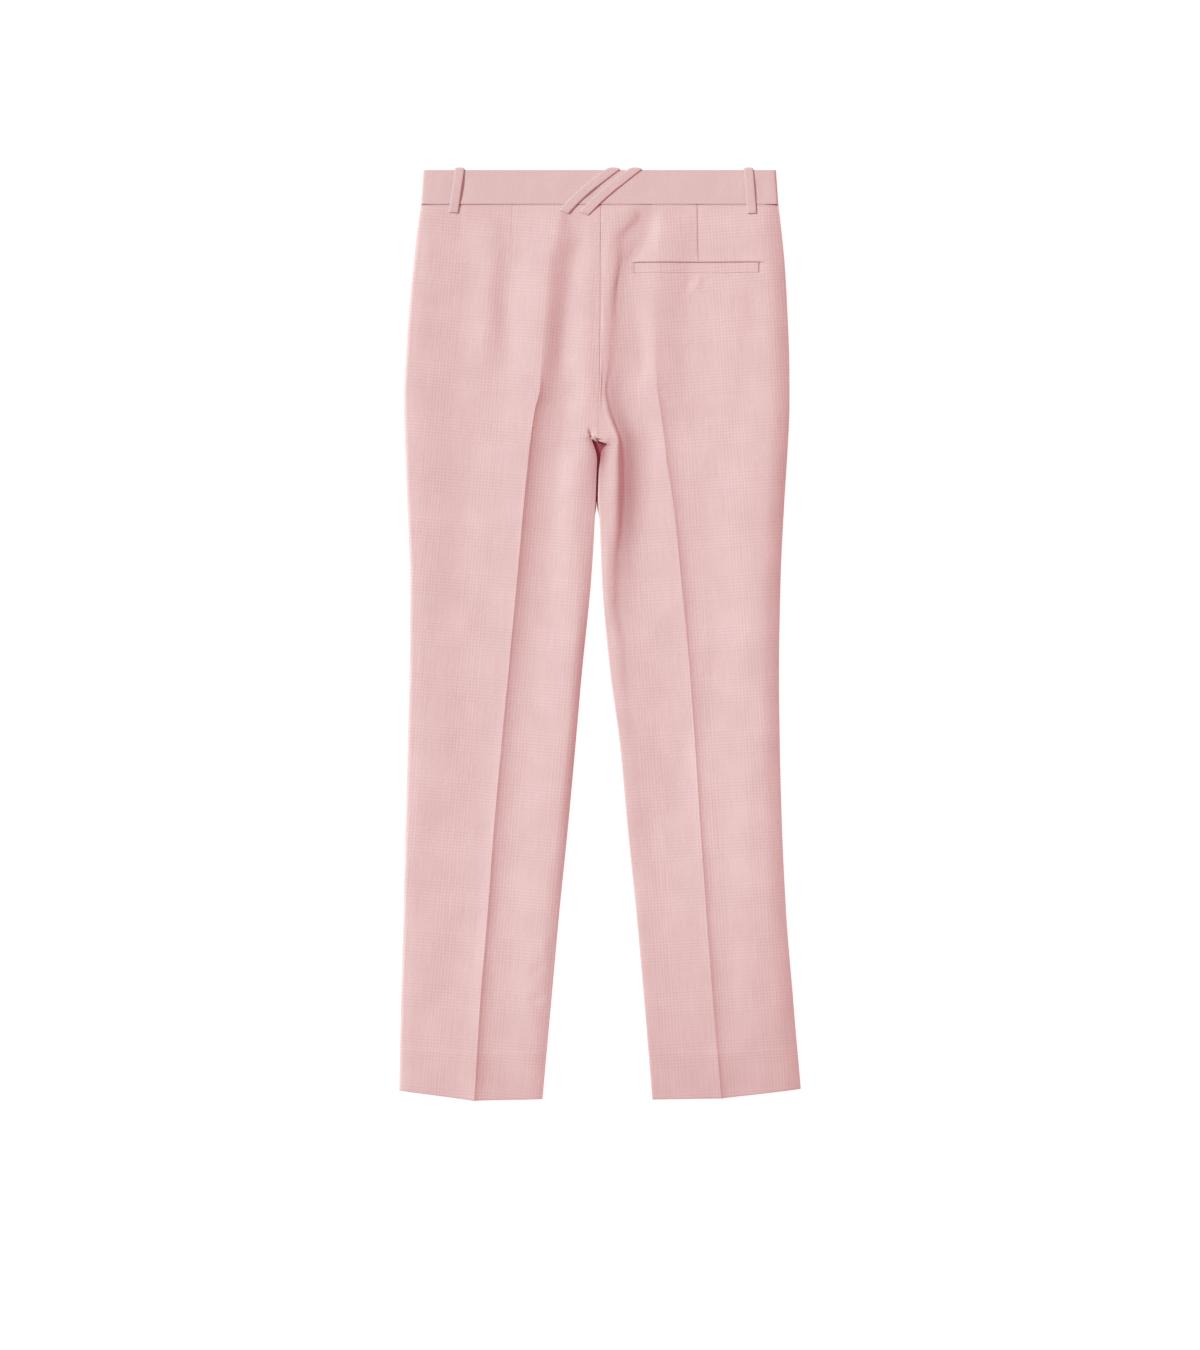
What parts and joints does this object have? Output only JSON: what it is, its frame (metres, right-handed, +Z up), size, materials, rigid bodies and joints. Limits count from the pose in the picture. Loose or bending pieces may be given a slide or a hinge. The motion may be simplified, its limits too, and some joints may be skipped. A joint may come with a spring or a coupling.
{
  "type": "skinny trousers",
  "caption": "Slim trousers laid flat on their front: two back legs over two front legs, a waistband with belt loops, soft folds and a pocket welt.",
  "frame": {"origin": "middle of the garment's bounding box, on the surface that it lies on", "axes": "+Y from the hems to the waistband, +X to the wearer's right, +Z up, out of the garment's back"},
  "size_m": [0.4492, 1.0444, 0.0127],
  "materials": {
    "trouser_cloth": "matt woven",
    "waistband_cloth": "matt woven"
  },
  "bodies": {
    "root": {"back_left_leg": "trouser_cloth", "back_right_leg": "trouser_cloth", "front_left_leg": "trouser_cloth", "front_right_leg": "trouser_cloth", "back_pocket_welt": "trouser_cloth", "back_waistband": "waistband_cloth", "front_left_waistband": "waistband_cloth", "front_right_waistband": "waistband_cloth", "left_belt_loop": "waistband_cloth", "right_belt_loop": "waistband_cloth", "centre_left_belt_loop": "waistband_cloth", "centre_right_belt_loop": "waistband_cloth"}
  },
  "joints": []
}
